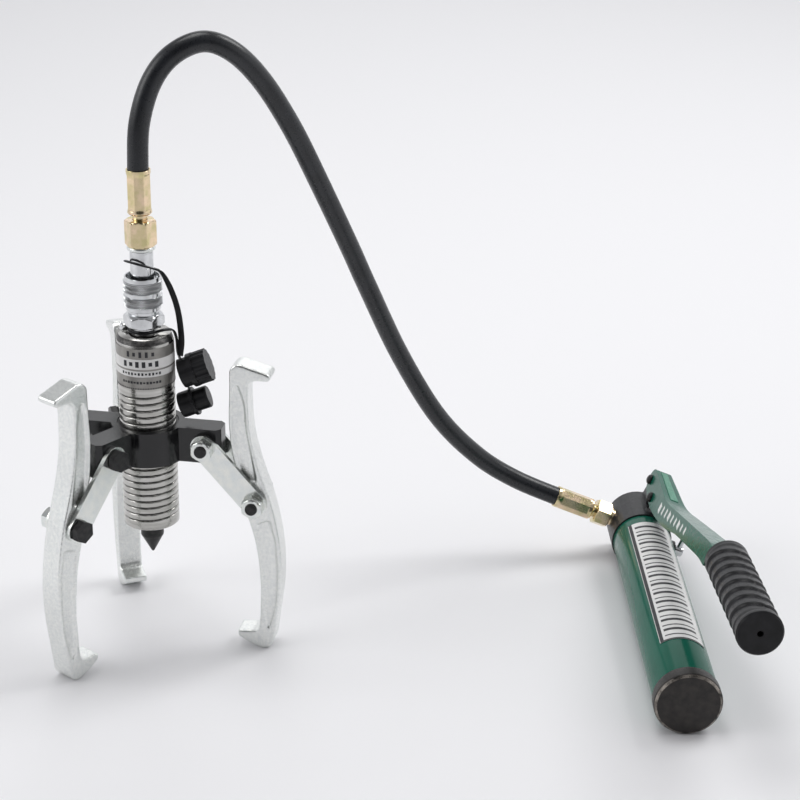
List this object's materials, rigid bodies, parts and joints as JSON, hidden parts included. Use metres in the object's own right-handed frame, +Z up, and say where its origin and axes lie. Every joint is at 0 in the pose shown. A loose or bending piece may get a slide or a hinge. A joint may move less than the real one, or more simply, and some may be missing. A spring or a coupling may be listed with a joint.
{
  "type": "gear puller",
  "caption": "Three-jaw gear puller with a threaded hydraulic cylinder, and the separate hand pump that drives it through a hose.",
  "frame": {"origin": "on the floor, at the middle of the footprint of the puller and its pump", "axes": "+Z up, along the puller's screw axis; +X from the puller to the pump; +Y from the pump's end cap side to its head side"},
  "size_m": [0.5973, 0.4028, 0.5365],
  "materials": {
    "cylinder_steel": "machined, oiled",
    "bright_steel": "bright plated",
    "zinc_plate": "forged, bright zinc plated",
    "yellow_zinc": "yellow zinc plated",
    "black_steel": "black oxide",
    "black_enamel": "gloss black paint",
    "black_cap": "satin black, worn edge",
    "green_enamel": "gloss green paint",
    "rubber": "black, semi-gloss",
    "seal_rubber": "black, matt",
    "label_film": "printed film, plain bars only"
  },
  "bodies": {
    "cylinder_and_pump": {"cylinder_barrel": "cylinder_steel", "cylinder_label": "label_film", "gland_nut": "black_steel", "rod_wiper": "seal_rubber", "return_spring": "cylinder_steel", "bleed_screw": "bright_steel", "coupler_body": "bright_steel", "coupler_nipple": "bright_steel", "coupler_washer": "zinc_plate", "hose_nut_puller": "yellow_zinc", "hose_ferrule_puller": "yellow_zinc", "hose": "rubber", "hose_ferrule_pump": "yellow_zinc", "hose_nut_pump": "yellow_zinc", "pump_adapter": "yellow_zinc", "pump_head": "black_enamel", "pump_tube": "green_enamel", "pump_end_cap": "black_cap", "pump_label": "label_film", "handle_pivot_pin": "black_steel", "dust_cap": "rubber", "dust_cap_strap": "rubber", "dust_plug": "rubber", "dust_plug_strap": "rubber"},
    "ram": {"ram_piston": "black_steel", "piston_seal": "seal_rubber", "ram_rod": "cylinder_steel", "ram_tip": "black_steel"},
    "coupler_sleeve": {"coupler_sleeve": "bright_steel"},
    "yoke_bush": {"yoke_bush": "black_steel"},
    "yoke": {"yoke": "black_enamel", "right_yoke_bolt": "black_steel", "right_yoke_nut": "zinc_plate", "left_yoke_bolt": "black_steel", "left_yoke_nut": "zinc_plate", "back_yoke_bolt": "black_steel", "back_yoke_nut": "zinc_plate"},
    "right_links": {"right_link_head_side": "zinc_plate", "right_link_nut_side": "zinc_plate"},
    "right_jaw_bolt": {"right_jaw_bolt": "black_steel", "right_jaw_nut": "zinc_plate"},
    "right_jaw": {"right_jaw": "zinc_plate"},
    "left_links": {"left_link_head_side": "zinc_plate", "left_link_nut_side": "zinc_plate"},
    "left_jaw_bolt": {"left_jaw_bolt": "black_steel", "left_jaw_nut": "zinc_plate"},
    "left_jaw": {"left_jaw": "zinc_plate"},
    "back_links": {"back_link_head_side": "zinc_plate", "back_link_nut_side": "zinc_plate"},
    "back_jaw_bolt": {"back_jaw_bolt": "black_steel", "back_jaw_nut": "zinc_plate"},
    "back_jaw": {"back_jaw": "zinc_plate"},
    "pump_handle": {"pump_handle": "green_enamel", "handle_grip": "rubber", "handle_drive_pin": "black_steel"},
    "pump_plunger": {"pump_plunger": "bright_steel"},
    "release_valve": {"release_valve_stem": "bright_steel", "release_valve_knob": "black_steel", "release_valve_bar": "bright_steel"}
  },
  "joints": [
    {"name": "ram_stroke", "type": "slide", "parent": "cylinder_and_pump", "child": "ram", "axis": [0, 0, -1], "range_m": [0, 0.05], "stiffness_N_per_m": 1500, "springref_m": -0.02, "deforming": ["return_spring"]},
    {"name": "sleeve_slide", "type": "slide", "parent": "cylinder_and_pump", "child": "coupler_sleeve", "axis": [0, 0, -1], "range_m": [0, 0.0034], "stiffness_N_per_m": 2000, "springref_m": -0.006},
    {"name": "yoke_travel", "type": "slide", "parent": "cylinder_and_pump", "child": "yoke_bush", "axis": [0, 0, -1], "range_m": [0, 0.054]},
    {"name": "yoke_spin", "type": "hinge", "parent": "yoke_bush", "child": "yoke", "pos_m": [-0.21466, 0.0135, 0.1905], "axis": [0, 0, -1], "range_deg": [0, 3240]},
    {"name": "right_link_swing", "type": "hinge", "parent": "yoke", "child": "right_links", "pos_m": [-0.16367, 0.00497, 0.1907], "axis": [-0.165, -0.9863, 0], "range_deg": [-4, 40]},
    {"name": "right_bolt_turn", "type": "hinge", "parent": "right_links", "child": "right_jaw_bolt", "pos_m": [-0.12116, -0.00215, 0.1413], "axis": [0.165, 0.9863, 0], "range_deg": [-4, 40]},
    {"name": "right_jaw_tilt", "type": "hinge", "parent": "right_jaw_bolt", "child": "right_jaw", "pos_m": [-0.12116, -0.00215, 0.1413], "axis": [0.165, 0.9863, 0], "range_deg": [-2, 25]},
    {"name": "left_link_swing", "type": "hinge", "parent": "yoke", "child": "left_links", "pos_m": [-0.24754, -0.02639, 0.1907], "axis": [-0.7716, 0.6361, 0], "range_deg": [-4, 40]},
    {"name": "left_bolt_turn", "type": "hinge", "parent": "left_links", "child": "left_jaw_bolt", "pos_m": [-0.27496, -0.05965, 0.1413], "axis": [0.7716, -0.6361, 0], "range_deg": [-4, 40]},
    {"name": "left_jaw_tilt", "type": "hinge", "parent": "left_jaw_bolt", "child": "left_jaw", "pos_m": [-0.27496, -0.05965, 0.1413], "axis": [0.7716, -0.6361, 0], "range_deg": [-2, 25]},
    {"name": "back_link_swing", "type": "hinge", "parent": "yoke", "child": "back_links", "pos_m": [-0.23277, 0.06193, 0.1907], "axis": [0.9367, 0.3502, 0], "range_deg": [-4, 40]},
    {"name": "back_bolt_turn", "type": "hinge", "parent": "back_links", "child": "back_jaw_bolt", "pos_m": [-0.24786, 0.1023, 0.1413], "axis": [-0.9367, -0.3502, 0], "range_deg": [-4, 40]},
    {"name": "back_jaw_tilt", "type": "hinge", "parent": "back_jaw_bolt", "child": "back_jaw", "pos_m": [-0.24786, 0.1023, 0.1413], "axis": [-0.9367, -0.3502, 0], "range_deg": [-2, 25]},
    {"name": "handle_stroke", "type": "hinge", "parent": "cylinder_and_pump", "child": "pump_handle", "pos_m": [0.24912, 0.18572, 0.07301], "axis": [-0.9269, -0.021, 0.3746], "range_deg": [-8, 25]},
    {"name": "plunger_stroke", "type": "slide", "parent": "cylinder_and_pump", "child": "pump_plunger", "axis": [0.3745, 0.0085, 0.9272], "range_m": [-0.004, 0.012]},
    {"name": "release_valve_turn", "type": "hinge", "parent": "cylinder_and_pump", "child": "release_valve", "pos_m": [0.25956, 0.15895, 0.01726], "axis": [0.9269, 0.021, -0.3746], "range_deg": [0, 90]}
  ],
  "couplings": [
    {"joint": "yoke_travel", "follows": "yoke_spin", "m_per_rad": 0.00095493},
    {"joint": "right_bolt_turn", "follows": "right_link_swing", "ratio": 1},
    {"joint": "left_bolt_turn", "follows": "left_link_swing", "ratio": 1},
    {"joint": "back_bolt_turn", "follows": "back_link_swing", "ratio": 1},
    {"joint": "plunger_stroke", "follows": "handle_stroke", "m_per_rad": 0.027}
  ]
}
